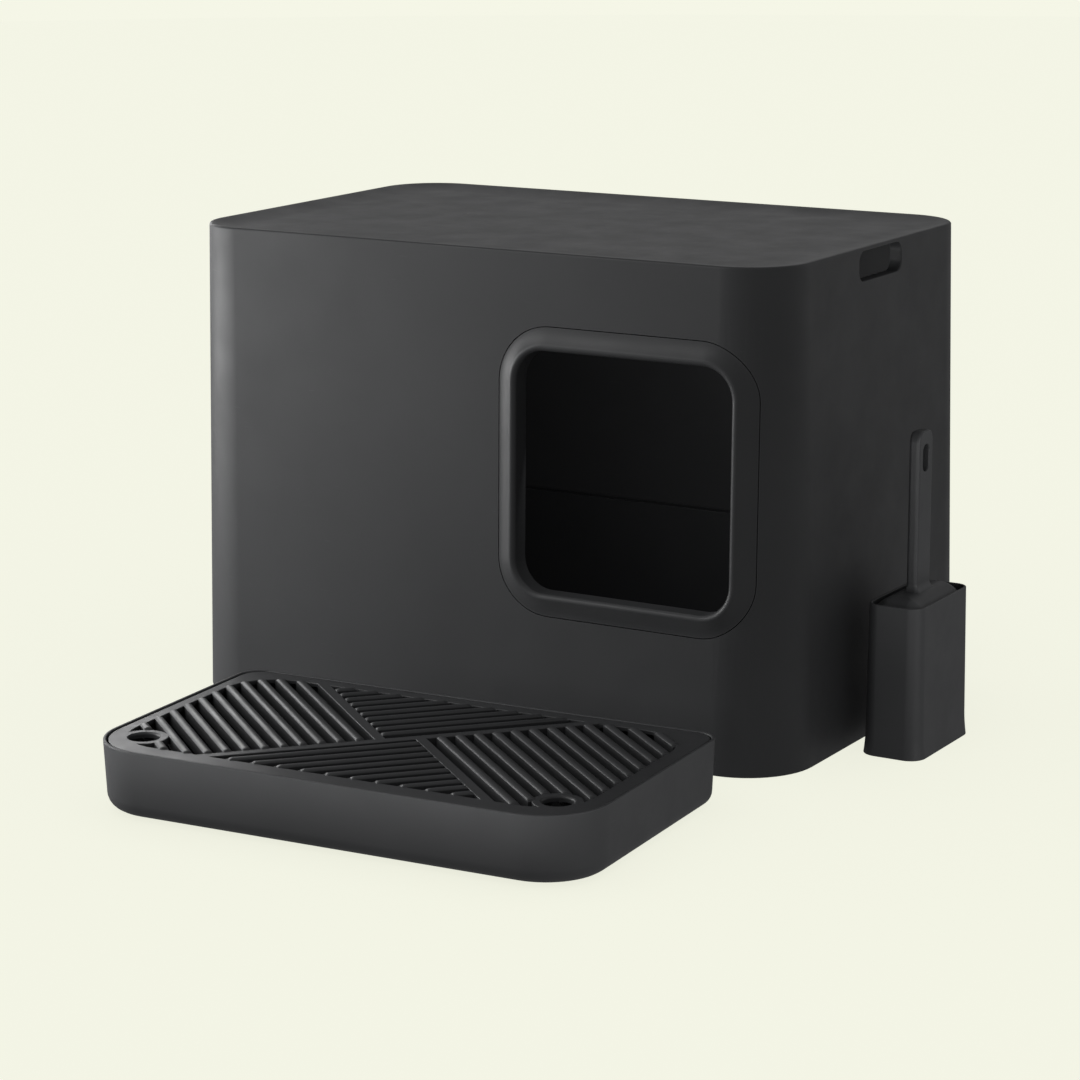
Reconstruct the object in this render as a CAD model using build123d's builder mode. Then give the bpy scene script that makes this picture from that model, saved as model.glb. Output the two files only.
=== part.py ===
from build123d import *
from math import atan, cos, degrees, radians, sin
import os

os.makedirs("parts", exist_ok=True)

# Hooded cat litter box with a foot-cleaning tray and a scoop in its holder.
# All lengths are millimetres. The origin is the centre of the litter pan's underside,
# on the floor: +Z up, +X to the right of the entry side, +Y from the entry to the back.

# ---- hood: a drafted shell, open underneath, standing on the floor around the pan ----
hood_length = 600
hood_depth = 390
hood_height = 420
hood_corner = 62.5
hood_lean = 8.4
wall = 3
top_round = 2
rim_width = 4
dish_slope = 30
dish_drop = 4

# ---- carrying slots, one in each end wall ----
slot_width = 82
slot_height = 25
slot_middle_z = 404.5
slot_corner = 9
slot_lip = 2
slot_lip_depth = 8
slot_lip_overlap = 1
slot_cut = 24

# ---- entry and the bezel that frames it ----
entry_x = 152
entry_z = 236.5
bezel_width = 238
bezel_height = 245
bezel_corner = 48
entry_width = 201.8
entry_height = 204.8
entry_corner = 27
crest_proud = 5
crest_land = 4
joint_gap = 0.5
bezel_backing = 5.5
flange_reach = 6
flange_gap = 0.25
throat_wall = 2.5
throat_depth = 14
wrap_depth = 16
cutter_reach = 45

# ---- litter pan inside the hood ----
pan_length = 560
pan_depth = 351
pan_height = 130
pan_corner = 48
pan_lean = 9
pan_wall = 2.5
pan_floor_round = 10
pan_lip = 8
pan_lip_drop = 9

# ---- foot-cleaning tray in front of the entry, turned a little on the floor ----
tray_x = 67.9
tray_y = -397
tray_turn = 3.4
tray_length = 444
tray_depth = 255.6
tray_height = 57.9
tray_front_corner = 54
tray_back_corner = 20.5
tray_lean = 2.4
tray_wall = 2.7
tray_floor_round = 12.8
tray_rim_round = 1
foot_radius = 11
foot_height = 3
foot_stand = 2
foot_inset = 52
foot_play = 0.2
gusset_thick = 3
gusset_reach = 7.5
gusset_spacing_x = 100
gusset_spacing_y = 80

# ---- lift-out grid ----
grid_gap = 1.2
grid_below_rim = 0.8
grid_plate = 3.5
grid_rib_depth = 9
rib_crown = 1.4
window_x = -2
window_y = 3.1
window_length = 412
window_depth = 218
window_corner = 44
rib_angle = 43.5
rib_pitch = 15.2
rib_slot = 8
first_end_slot = 23.8
first_middle_slot = 8.6
bar_half = 4.5
middle_rib_end = 11
slot_reach = 330
finger_x = 185
finger_y = -87
finger_radius = 12.2
finger_land = 19.5

# ---- scoop holder and scoop, beside the right end wall ----
holder_x = 343.7
holder_y = -24
holder_width = 53
holder_depth = 107
holder_height = 130
holder_corner = 13.5
holder_lean = 1.6
holder_wall = 2.2
holder_floor = 3
holder_flare = 1.3
holder_flare_height = 20
holder_rim_round = 0.7
scoop_y = -25.5
head_width = 90
head_thick = 37
head_bottom = 3.4
head_top = 126.5
head_tip_width = 76
head_tip_round = 12
head_wall = 2.4
shoulder_lap_x = 1.5
shoulder_lap_y = 1
shoulder_rise = 9
shoulder_round = 8
sift_slots = 7
sift_pitch = 9.5
sift_width = 5
sift_length = 86
handle_width = 28
handle_thick = 10
handle_top = 270.5
handle_round = 9
hang_slot_length = 23
hang_slot_width = 12
hang_slot_z = 247.5

draft_angle = degrees(atan(hood_lean / hood_height))


def export(part, name):
    """Label a finished piece and write its STEP file."""
    part.label = name
    export_step(part, "parts/" + name + ".step")


def drafted_block(inset, height):
    """Solid with the hood's leaning walls, moved inward by inset."""
    with BuildPart() as block:
        with BuildSketch():
            RectangleRounded(hood_length - 2 * inset, hood_depth - 2 * inset, hood_corner - inset)
        extrude(amount=height, taper=draft_angle)
    return block.part


def dish_block(top_z):
    """Solid that fills the shallow dish in the hood's top, from its edge at top_z down."""
    rim_inset = hood_lean + rim_width
    floor_inset = rim_inset + dish_slope
    with BuildPart() as dish:
        for inset, height in ((rim_inset, top_z), (floor_inset, top_z - dish_drop)):
            with BuildSketch(Plane.XY.offset(height)):
                RectangleRounded(hood_length - 2 * inset, hood_depth - 2 * inset, hood_corner - inset)
        loft()
    return dish.part


def pan_outline(inset):
    """The litter pan's rim outline, moved inward by inset."""
    with BuildSketch() as outline:
        RectangleRounded(pan_length - 2 * inset, pan_depth - 2 * inset, pan_corner - inset)
    return outline.sketch


def tray_outline(inset):
    """The tray's rim outline, moved inward by inset: its back corners are tighter."""
    with BuildSketch() as outline:
        Rectangle(tray_length - 2 * inset, tray_depth - 2 * inset)
        fillet(outline.vertices().group_by(Axis.Y)[0], tray_front_corner - inset)
        fillet(outline.vertices().group_by(Axis.Y)[-1], tray_back_corner - inset)
    return outline.sketch


def flared_block(base_outline, plane, lean, height, floor_round):
    """Block on base_outline with a rounded floor edge and walls that lean out by lean."""
    with BuildPart() as block:
        with BuildSketch(plane):
            add(base_outline)
        extrude(amount=height, taper=-degrees(atan(lean / height)))
        fillet(block.faces().sort_by(Axis.Z)[0].edges(), floor_round)
    return block.part


def flared_tub(outline_at, plane, lean, height, floor_round, thick):
    """Open tub: outline_at(inset) gives its rim outline, moved inward by inset."""
    inner_height = height - thick
    inner_lean = lean * inner_height / height
    outer = flared_block(outline_at(lean), plane, lean, height, floor_round)
    inner = flared_block(
        outline_at(thick + inner_lean),
        plane.offset(thick),
        inner_lean,
        inner_height,
        floor_round - thick,
    )
    with BuildPart() as tub:
        add(outer)
        add(inner, mode=Mode.SUBTRACT)
    return tub.part


# The entry's drawing plane lies in the hood's leaning front face, facing out.
front_y = -hood_depth / 2 + hood_lean * entry_z / hood_height
entry_front = Plane(
    origin=(entry_x, front_y, entry_z),
    x_dir=(1, 0, 0),
    z_dir=(0, -cos(radians(draft_angle)), sin(radians(draft_angle))),
)

# ---- hood shell ----
with BuildPart() as hood_cavity:
    add(drafted_block(wall, hood_height - wall))
    add(dish_block(hood_height - wall), mode=Mode.SUBTRACT)

with BuildPart() as hood_shell:
    add(drafted_block(0, hood_height))
    fillet(hood_shell.faces().sort_by(Axis.Z)[-1].edges(), top_round)
    add(dish_block(hood_height), mode=Mode.SUBTRACT)
    add(hood_cavity.part, mode=Mode.SUBTRACT)
    # a lip inside each carrying slot stiffens its edge
    for side in (1, -1):
        wall_x = side * (hood_length / 2 - hood_lean - wall)
        slot_plane = Plane(origin=(wall_x, 0, slot_middle_z), x_dir=(0, side, 0), z_dir=(side, 0, 0))
        with BuildSketch(slot_plane.offset(slot_lip_overlap)):
            RectangleRounded(slot_width + 2 * slot_lip, slot_height + 2 * slot_lip, slot_corner)
        extrude(amount=-slot_lip_depth)
        with BuildSketch(slot_plane.offset(slot_lip_depth)):
            RectangleRounded(slot_width, slot_height, slot_corner)
        extrude(amount=-slot_cut, mode=Mode.SUBTRACT)
    # opening that the bezel fills
    with BuildSketch(entry_front.offset(cutter_reach)):
        RectangleRounded(bezel_width + 2 * joint_gap, bezel_height + 2 * joint_gap, bezel_corner + joint_gap)
    extrude(amount=-2 * cutter_reach, mode=Mode.SUBTRACT)
export(hood_shell.part, "hood_shell")

# ---- entry bezel ----
with BuildPart() as bezel_plate:
    # follows the hood's wall, round the right-hand corner too
    add(drafted_block(0, hood_height))
    add(drafted_block(bezel_backing, hood_height), mode=Mode.SUBTRACT)
    with BuildSketch(entry_front.offset(cutter_reach)):
        RectangleRounded(bezel_width, bezel_height, bezel_corner)
    extrude(amount=-2 * cutter_reach, mode=Mode.INTERSECT)

with BuildPart() as bezel_flange:
    # laps behind the hood's wall and holds the bezel in place
    add(drafted_block(wall + flange_gap, hood_height))
    add(drafted_block(bezel_backing, hood_height), mode=Mode.SUBTRACT)
    with BuildSketch(entry_front.offset(cutter_reach)):
        RectangleRounded(
            bezel_width + 2 * flange_reach, bezel_height + 2 * flange_reach, bezel_corner + flange_reach
        )
    extrude(amount=-2 * cutter_reach, mode=Mode.INTERSECT)

with BuildPart() as bezel_crest:
    # raised band that rises from the joint to a crest round the entry
    with BuildSketch(entry_front.offset(-wrap_depth)):
        RectangleRounded(bezel_width, bezel_height, bezel_corner)
    with BuildSketch(entry_front.offset(crest_proud)):
        RectangleRounded(
            entry_width + 2 * crest_land, entry_height + 2 * crest_land, entry_corner + crest_land
        )
    loft()
    add(drafted_block(bezel_backing, hood_height), mode=Mode.SUBTRACT)

with BuildPart() as entry_bezel:
    add(bezel_plate.part)
    add(bezel_flange.part)
    add(bezel_crest.part)
    with BuildSketch(entry_front):
        RectangleRounded(
            entry_width + 2 * throat_wall, entry_height + 2 * throat_wall, entry_corner + throat_wall
        )
    extrude(amount=-throat_depth)
    with BuildSketch(entry_front.offset(cutter_reach)):
        RectangleRounded(entry_width, entry_height, entry_corner)
    extrude(amount=-2 * cutter_reach, mode=Mode.SUBTRACT)
export(entry_bezel.part, "entry_bezel")

# ---- litter pan ----
with BuildPart() as litter_pan:
    add(flared_tub(pan_outline, Plane.XY, pan_lean, pan_height, pan_floor_round, pan_wall))
    # turned-out lip with a short skirt
    with BuildSketch(Plane.XY.offset(pan_height - pan_wall)):
        add(pan_outline(-pan_lip))
        add(pan_outline(pan_wall), mode=Mode.SUBTRACT)
    extrude(amount=pan_wall)
    with BuildSketch(Plane.XY.offset(pan_height - pan_lip_drop)):
        add(pan_outline(-pan_lip))
        add(pan_outline(pan_wall - pan_lip), mode=Mode.SUBTRACT)
    extrude(amount=pan_lip_drop)
export(litter_pan.part, "litter_pan")

# ---- tray base ----
turn = radians(tray_turn)
tray_plane = Plane(origin=(tray_x, tray_y, 0), x_dir=(cos(turn), sin(turn), 0))
foot_places = GridLocations(tray_length - 2 * foot_inset, tray_depth - 2 * foot_inset, 2, 2)
grid_top = tray_height - grid_below_rim
grid_seat = grid_top - grid_plate

with BuildPart() as tray_base:
    add(
        flared_tub(
            tray_outline,
            tray_plane.offset(foot_stand),
            tray_lean,
            tray_height - foot_stand,
            tray_floor_round,
            tray_wall,
        )
    )
    fillet(tray_base.faces().sort_by(Axis.Z)[-1].edges(), tray_rim_round)
    # gussets inside the wall carry the grid
    gusset_inset = 2 * tray_wall + tray_lean + gusset_reach
    gusset_foot = foot_stand + tray_floor_round
    with BuildSketch(tray_plane.offset(gusset_foot)):
        with GridLocations(gusset_spacing_x, tray_depth - gusset_inset, 4, 2):
            Rectangle(gusset_thick, gusset_reach)
        with GridLocations(tray_length - gusset_inset, gusset_spacing_y, 2, 2):
            Rectangle(gusset_reach, gusset_thick)
    extrude(amount=grid_seat - gusset_foot)
    # shallow recesses for the rubber feet
    with BuildSketch(tray_plane):
        with foot_places:
            Circle(foot_radius + foot_play)
    extrude(amount=foot_height, mode=Mode.SUBTRACT)
export(tray_base.part, "tray_base")

# ---- four rubber feet under the tray ----
for number, place in enumerate(foot_places.locations, start=1):
    foot_spot = Plane(tray_plane.location * place)
    with BuildPart() as tray_foot:
        with BuildSketch(foot_spot):
            Circle(foot_radius)
        extrude(amount=foot_height)
        fillet(tray_foot.faces().sort_by(Axis.Z)[0].edges(), foot_stand / 2)
    export(tray_foot.part, "tray_foot_" + str(number))

# ---- tray grid: four fields of ribs, parted by one long bar and two half bars ----
grid_inset = tray_wall + grid_gap + tray_lean * grid_plate / tray_height
window_plane = Plane(tray_plane.location * Location((window_x, window_y, 0)))
along = radians(rib_angle)
field_slots = 14


def lattice_point(rising, falling):
    """Point at a distance along the rising bar and a distance along the falling ribs."""
    return (cos(along) * (rising + falling), sin(along) * (rising - falling))


def strips(first, width):
    """Draw one strip in every rib pitch of the four fields, each width wide."""
    half_reach = slot_reach / 2
    for side in (1, -1):
        end_places = [
            lattice_point(side * (first_end_slot + first + step * rib_pitch), side * (bar_half + half_reach))
            for step in range(field_slots)
        ]
        with Locations(*end_places):
            Rectangle(slot_reach, width, rotation=-rib_angle)
        middle_places = [
            lattice_point(
                side * (half_reach - middle_rib_end), -side * (first_middle_slot + first + step * rib_pitch)
            )
            for step in range(field_slots)
        ]
        with Locations(*middle_places):
            Rectangle(slot_reach, width, rotation=rib_angle)


def trim_to_window():
    """Keep what lies in the ribbed window and clear of the finger holes."""
    RectangleRounded(window_length, window_depth, window_corner, mode=Mode.INTERSECT)
    with Locations((finger_x, finger_y), (-finger_x, finger_y)):
        Circle(finger_land, mode=Mode.SUBTRACT)


with BuildPart() as tray_grid:
    with BuildSketch(tray_plane.offset(grid_seat)):
        add(tray_outline(grid_inset))
    extrude(amount=grid_plate)
    with BuildSketch(window_plane.offset(grid_top - grid_rib_depth)):
        RectangleRounded(window_length, window_depth, window_corner)
    extrude(amount=grid_rib_depth)
    with BuildSketch(window_plane.offset(grid_top)):
        strips(rib_pitch / 2, rib_pitch - rib_slot)
        trim_to_window()
    extrude(amount=rib_crown)
    with BuildSketch(window_plane.offset(grid_top - grid_rib_depth)):
        strips(0, rib_slot)
        trim_to_window()
    extrude(amount=grid_rib_depth + rib_crown, mode=Mode.SUBTRACT)
    with BuildSketch(window_plane.offset(grid_top - grid_rib_depth)):
        with Locations((finger_x, finger_y), (-finger_x, finger_y)):
            Circle(finger_radius)
    extrude(amount=grid_rib_depth, mode=Mode.SUBTRACT)
export(tray_grid.part, "tray_grid")

# ---- scoop holder ----
holder_plane = Plane(origin=(holder_x, holder_y, 0))
holder_angle = degrees(atan(holder_lean / holder_height))
flare_lean = holder_flare + holder_lean * holder_flare_height / holder_height
flare_angle = degrees(atan(flare_lean / holder_flare_height))

with BuildPart() as scoop_holder:
    with BuildSketch(holder_plane):
        RectangleRounded(holder_width, holder_depth, holder_corner)
    extrude(amount=holder_height, taper=holder_angle)
    with BuildSketch(holder_plane):
        RectangleRounded(
            holder_width + 2 * holder_flare, holder_depth + 2 * holder_flare, holder_corner + holder_flare
        )
    extrude(amount=holder_flare_height, taper=flare_angle)
    with BuildSketch(holder_plane.offset(holder_floor)):
        RectangleRounded(
            holder_width - 2 * holder_wall, holder_depth - 2 * holder_wall, holder_corner - holder_wall
        )
    extrude(amount=holder_height, taper=holder_angle, mode=Mode.SUBTRACT)
    fillet(scoop_holder.faces().sort_by(Axis.Z)[-1].edges(), holder_rim_round)
export(scoop_holder.part, "scoop_holder")

# ---- scoop: a slotted basket standing tip down, closed above by a domed shoulder ----
scoop_side = Plane(origin=(holder_x, scoop_y, 0), x_dir=(0, 1, 0), z_dir=(1, 0, 0))


def basket_block(inset):
    """Flat-backed block with rounded tip corners, moved inward by inset but open towards +X."""
    tip_half = head_tip_width / 2 - inset
    top_half = head_width / 2 - inset
    low = head_bottom + inset
    outline = [(-tip_half, low), (tip_half, low), (top_half, head_top), (-top_half, head_top)]
    with BuildPart() as block:
        with BuildSketch(scoop_side.offset(-head_thick / 2 + inset)):
            with BuildLine():
                Polyline(*outline, close=True)
            make_face()
        extrude(amount=head_thick)
        fillet(block.edges().filter_by(Axis.X).group_by(Axis.Z)[0], head_tip_round - inset)
        fillet(block.faces().sort_by(Axis.X)[0].edges(), head_tip_round / 2 - inset)
    return block.part


with BuildPart() as scoop:
    # basket, open on the side away from the hood
    add(basket_block(0))
    add(basket_block(head_wall), mode=Mode.SUBTRACT)
    # sifting slots through the basket's floor
    with BuildSketch(scoop_side.offset(-head_thick)):
        with Locations((0, (head_bottom + head_top) / 2)):
            with GridLocations(sift_pitch, 0, sift_slots, 1):
                SlotOverall(sift_length, sift_width, rotation=90)
    extrude(amount=head_thick, mode=Mode.SUBTRACT)
    # domed shoulder
    with BuildSketch(Plane(origin=(holder_x, scoop_y, head_top - head_wall))):
        RectangleRounded(
            head_thick + 2 * shoulder_lap_x,
            head_width + 2 * shoulder_lap_y,
            shoulder_round + shoulder_lap_y,
        )
    extrude(amount=head_wall + shoulder_rise)
    fillet(scoop.faces().sort_by(Axis.Z)[-1].edges(), shoulder_round)
    # flat handle with a hanging slot
    with BuildSketch(scoop_side.offset(-handle_thick / 2)):
        with Locations((0, (head_top + handle_top) / 2)):
            Rectangle(handle_width, handle_top - head_top)
    extrude(amount=handle_thick)
    fillet(scoop.edges().filter_by(Axis.X).group_by(Axis.Z)[-1], handle_round)
    with BuildSketch(scoop_side.offset(-handle_thick)):
        with Locations((0, hang_slot_z)):
            SlotOverall(hang_slot_length, hang_slot_width, rotation=90)
    extrude(amount=2 * handle_thick, mode=Mode.SUBTRACT)
export(scoop.part, "scoop")
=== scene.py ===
import math

import bmesh
import bpy
from mathutils import Matrix, Vector


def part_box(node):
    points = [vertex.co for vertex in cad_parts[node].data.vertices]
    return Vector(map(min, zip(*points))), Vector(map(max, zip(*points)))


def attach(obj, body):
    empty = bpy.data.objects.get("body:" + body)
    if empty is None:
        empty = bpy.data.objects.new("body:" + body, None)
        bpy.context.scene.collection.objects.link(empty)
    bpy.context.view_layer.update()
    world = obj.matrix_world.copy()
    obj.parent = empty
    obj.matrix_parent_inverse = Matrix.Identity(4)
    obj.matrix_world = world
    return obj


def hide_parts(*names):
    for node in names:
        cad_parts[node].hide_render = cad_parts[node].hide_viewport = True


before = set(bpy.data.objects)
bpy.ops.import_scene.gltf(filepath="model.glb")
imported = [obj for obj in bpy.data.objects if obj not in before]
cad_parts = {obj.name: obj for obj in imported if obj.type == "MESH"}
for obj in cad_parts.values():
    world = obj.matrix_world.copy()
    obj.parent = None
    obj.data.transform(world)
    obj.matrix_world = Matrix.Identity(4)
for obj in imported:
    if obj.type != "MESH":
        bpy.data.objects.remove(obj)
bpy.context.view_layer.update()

# A hooded litter box with its foot-cleaning tray, scoop and scoop holder, in the frame of the
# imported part: +Z up, +X towards the end that the entry is nearer to, +Y from front to back.
# Shapes are drawn in millimetres, and as_object() turns them into metres.

MM = 0.001


def box_mm(node):
    """Lowest and highest corner of a CAD node, in millimetres."""
    low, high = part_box(node)
    return low / MM, high / MM


hood_low, hood_high = box_mm("hood_shell")
bezel_low, bezel_high = box_mm("entry_bezel")
pan_low, pan_high = box_mm("litter_pan")
tray_low, tray_high = box_mm("tray_base")
holder_low, holder_high = box_mm("scoop_holder")
scoop_low, scoop_high = box_mm("scoop")

# ---- hood ----
hood_length = hood_high.x - hood_low.x
hood_depth = hood_high.y - hood_low.y
hood_height = hood_high.z
hood_corner = 62.5
hood_lean = 8.4
wall = 3
top_round = 2
rim_width = 4
dish_slope = 30
dish_drop = 4

# ---- carrying slots ----
slot_width = 82
slot_height = 25
slot_middle_z = 404.5
slot_corner = 9
slot_lip = 2
slot_lip_over = 1.2
slot_lip_depth = 8
slot_edge_round = 1.5
slot_mouth_lift = 0.2

# ---- entry and bezel ----
flange_reach = 6
entry_x = (bezel_low.x + bezel_high.x) / 2
entry_z = (bezel_low.z + bezel_high.z) / 2
bezel_width = bezel_high.x - bezel_low.x - 2 * flange_reach
bezel_height = bezel_high.z - bezel_low.z - 2 * flange_reach
bezel_corner = 48
entry_width = 201.8
entry_height = 204.8
entry_corner = 27
crest_proud = 5
crest_round = 4
crest_start = 125
cove_power = 1.8
joint_gap = 0.5
bezel_backing = 5.5
flange_gap = 0.25
throat_wall = 2.5
throat_depth = 14
cutter_reach = 45

# ---- litter pan ----
pan_lip = 8
pan_length = pan_high.x - pan_low.x - 2 * pan_lip
pan_depth = pan_high.y - pan_low.y - 2 * pan_lip
pan_height = pan_high.z
pan_corner = 48
pan_lean = 9
pan_wall = 2.5
pan_floor_round = 10
pan_lip_drop = 9
pan_lip_outer_round = 1.8
pan_lip_inner_round = 1.2

# ---- foot-cleaning tray ----
tray_length = 444
tray_depth = 255.6
tray_height = tray_high.z
tray_front_corner = 54
tray_back_corner = 20.5
tray_lean = 2.4
tray_wall = 2.7
tray_floor_round = 12.8
tray_rim_round = 1
foot_stand = tray_low.z
foot_radius = 11
foot_height = 3
foot_play = 0.2
gusset_thick = 3
gusset_reach = 7.5
gusset_spacing_x = 100
gusset_spacing_y = 80
gusset_round = 0.6
gusset_edge = 0.4
foot_ring_depth = 0.5

# ---- lift-out grid ----
grid_gap = 1.2
grid_below_rim = 0.8
grid_plate = 3.5
grid_rib_depth = 9
rib_crown = 1.4
rib_end_round = 3.4
rib_edge_drop = 0.5
rib_overrun = 1.5
ribs_per_field = 14
shortest_rib = 5
bar_overrun = 5
long_bar_drop = 0.02
half_bar_drop = 0.04
finger_land_drop = 0.06
half_bar_start = 2
window_x = -2
window_y = 3.1
window_length = 412
window_depth = 218
window_corner = 44
rib_angle = math.radians(43.5)
rib_pitch = 15.2
rib_slot = 8
first_end_slot = 23.8
first_middle_slot = 8.6
bar_half = 4.5
middle_rib_end = 11
finger_x = 185
finger_y = -87
finger_radius = 12.2
finger_land = 19.5
finger_edge_round = 2.2

# ---- scoop holder and scoop ----
holder_flare = 1.3
holder_width = holder_high.x - holder_low.x - 2 * holder_flare
holder_depth = holder_high.y - holder_low.y - 2 * holder_flare
holder_height = holder_high.z
holder_corner = 13.5
holder_lean = 1.6
holder_wall = 2.2
holder_floor = 3
holder_flare_height = 20
holder_rim_round = 0.7
holder_flare_power = 1.8
holder_flare_steps = 8
head_width = 90
head_thick = 37
head_bottom = scoop_low.z
head_top = 126.5
head_tip_width = 76
head_tip_round = 12
head_wall = 2.4
shoulder_lap_x = 1.5
shoulder_lap_y = 1
shoulder_rise = 9
shoulder_dome = 18.5
shoulder_dome_power = 2.3
shoulder_edge = 0.6
sift_slots = 7
sift_pitch = 9.5
sift_width = 5
sift_length = 86
handle_width = 28
handle_thick = 10
handle_top = scoop_high.z
handle_round = 9
handle_flare = 4
handle_flare_rise = 7
handle_corner = 3.2
hang_slot_length = 23
hang_slot_width = 12
hang_slot_z = 247.5

# ---------------------------------------------------------------- outlines and lofts

CORNER_STEPS = 14


def rounded_outline(length, depth, front_corner, back_corner=None):
    """A function that gives a rounded rectangle's points, moved inward by an inset."""
    rear_corner = front_corner if back_corner is None else back_corner
    corners = (
        (1, -1, -90, front_corner),
        (1, 1, 0, rear_corner),
        (-1, 1, 90, rear_corner),
        (-1, -1, 180, front_corner),
    )

    def outline(inset):
        points = []
        for x_side, y_side, start, corner in corners:
            radius = max(corner - inset, 0.1)
            middle_x = x_side * (length / 2 - inset - radius)
            middle_y = y_side * (depth / 2 - inset - radius)
            for step in range(CORNER_STEPS + 1):
                angle = math.radians(start + 90 * step / CORNER_STEPS)
                points.append((middle_x + radius * math.cos(angle), middle_y + radius * math.sin(angle)))
        return points

    return outline


def round_outline(radius, steps=48):
    """A function that gives a circle's points, moved inward by an inset."""

    def outline(inset):
        turns = [2 * math.pi * step / steps for step in range(steps)]
        return [((radius - inset) * math.cos(a), (radius - inset) * math.sin(a)) for a in turns]

    return outline


def arc(middle_inset, middle_z, radius, start, end, steps=6):
    """Profile points on an arc: each is an inset and a height."""
    points = []
    for step in range(steps + 1):
        angle = math.radians(start + (end - start) * step / steps)
        points.append((middle_inset + radius * math.cos(angle), middle_z + radius * math.sin(angle)))
    return points


def mouth(radius, angles, level=0):
    """Profile points of a cutter that rounds off an opening's edge below a level."""
    points = []
    for angle in angles:
        turned = math.radians(angle)
        points.append((-radius * (1 - math.sin(turned)), level - radius * (1 - math.cos(turned))))
    return points


def as_object(name, mesh):
    """Turn a bmesh drawn in millimetres into an object in metres."""
    bmesh.ops.scale(mesh, vec=(MM, MM, MM), verts=mesh.verts)
    bmesh.ops.recalc_face_normals(mesh, faces=mesh.faces)
    data = bpy.data.meshes.new(name)
    mesh.to_mesh(data)
    mesh.free()
    made = bpy.data.objects.new(name, data)
    bpy.context.scene.collection.objects.link(made)
    return made


def add_loft(mesh, loops, ring=False):
    """Join loops of points into a closed skin: a ring, or capped at both ends."""
    rows = [[mesh.verts.new(point) for point in loop] for loop in loops]
    count = len(rows[0])
    pairs = list(zip(rows, rows[1:]))
    if ring:
        pairs.append((rows[-1], rows[0]))
    else:
        mesh.faces.new(rows[0])
        mesh.faces.new(rows[-1])
    for lower, upper in pairs:
        for near in range(count):
            far = (near + 1) % count
            mesh.faces.new((lower[near], lower[far], upper[far], upper[near]))


def profile_loops(outline, profile, place):
    """Loops of an outline carried along a profile of (inset, height) points."""
    return [[place @ Vector((x, y, z)) for x, y in outline(inset)] for inset, z in profile]


def shell(name, outline, profile, place=Matrix.Identity(4)):
    """A closed skin: an outline carried along a profile and capped at both ends."""
    mesh = bmesh.new()
    add_loft(mesh, profile_loops(outline, profile, place))
    return as_object(name, mesh)


def shells(name, outline, profile, places):
    """Several equal closed skins in one object."""
    mesh = bmesh.new()
    for place in places:
        add_loft(mesh, profile_loops(outline, profile, place))
    return as_object(name, mesh)


def boolean(target, tool, operation):
    """Add tool to target or take it away, and drop the tool."""
    modifier = target.modifiers.new("boolean", "BOOLEAN")
    modifier.operation = operation
    modifier.solver = "EXACT"
    modifier.object = tool
    graph = bpy.context.evaluated_depsgraph_get()
    result = bpy.data.meshes.new_from_object(target.evaluated_get(graph))
    target.modifiers.clear()
    target.data = result
    bpy.data.objects.remove(tool)


def join(target, tool):
    """Add tool to target."""
    boolean(target, tool, "UNION")


def cut(target, tool):
    """Take tool away from target."""
    boolean(target, tool, "DIFFERENCE")


def plane_matrix(origin, x_axis, y_axis):
    """Placement whose drawing plane has these axes, with its heights along their normal."""
    first = Vector(x_axis).normalized()
    second = Vector(y_axis).normalized()
    turned = Matrix((first, second, first.cross(second))).transposed().to_4x4()
    return Matrix.Translation(Vector(origin)) @ turned


def finish_piece(piece, body, slot, nodes, sharp_degrees=32):
    """Smooth a piece, give it its slot's material and hang it on its CAD body."""
    mesh = bmesh.new()
    mesh.from_mesh(piece.data)
    bmesh.ops.remove_doubles(mesh, verts=mesh.verts, dist=1e-6)
    bmesh.ops.dissolve_degenerate(mesh, edges=mesh.edges, dist=1e-6)
    bmesh.ops.recalc_face_normals(mesh, faces=mesh.faces)
    mesh.to_mesh(piece.data)
    mesh.free()
    piece.data.shade_smooth()
    piece.data.set_sharp_from_angle(angle=math.radians(sharp_degrees))
    weighted = piece.modifiers.new("weighted_normal", "WEIGHTED_NORMAL")
    weighted.keep_sharp = True
    piece.data.materials.clear()
    piece.data.materials.append(materials[slot])
    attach(piece, body)
    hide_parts(*nodes)
    lit.objects.link(piece)
    if body not in ("hood", "grid"):
        low_lit.objects.link(piece)


# ---------------------------------------------------------------- materials


plastic_ior = 1.49
plastic_specular = 0.42
# how far the lighter edge colour reaches from a sharp edge: rubbed wear, and also a painted highlight along
# the rims
edge_wear_and_highlight_reach = 0.8


def node(tree, kind, **inputs):
    """A shader node with its unlinked inputs set by name."""
    made = tree.nodes.new(kind)
    for name, value in inputs.items():
        made.inputs[name.replace("_", " ")].default_value = value
    return made


def ramp(tree, source, low, high, dark, light):
    """Map a source's range low to high onto dark to light."""
    mapped = node(tree, "ShaderNodeMapRange", From_Min=low, From_Max=high, To_Min=dark, To_Max=light)
    tree.links.new(source, mapped.inputs["Value"])
    return mapped.outputs["Result"]


def multiply(tree, first, second):
    """The product of two shader values."""
    made = tree.nodes.new("ShaderNodeMath")
    made.operation = "MULTIPLY"
    tree.links.new(first, made.inputs[0])
    tree.links.new(second, made.inputs[1])
    return made.outputs[0]


def edge_wear_and_highlight_mask(tree, reach):
    """Where the surface turns sharply within a reach, as hands rub it smooth; the lighter colour laid there
    is also a painted highlight along the rims.
    """
    softened = node(tree, "ShaderNodeBevel", Radius=reach * MM)
    softened.samples = 4
    true_shape = tree.nodes.new("ShaderNodeNewGeometry")
    alike = tree.nodes.new("ShaderNodeVectorMath")
    alike.operation = "DOT_PRODUCT"
    tree.links.new(softened.outputs["Normal"], alike.inputs[0])
    tree.links.new(true_shape.outputs["Normal"], alike.inputs[1])
    return ramp(tree, alike.outputs["Value"], 0.995, 0.93, 0.0, 1.0)


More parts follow.
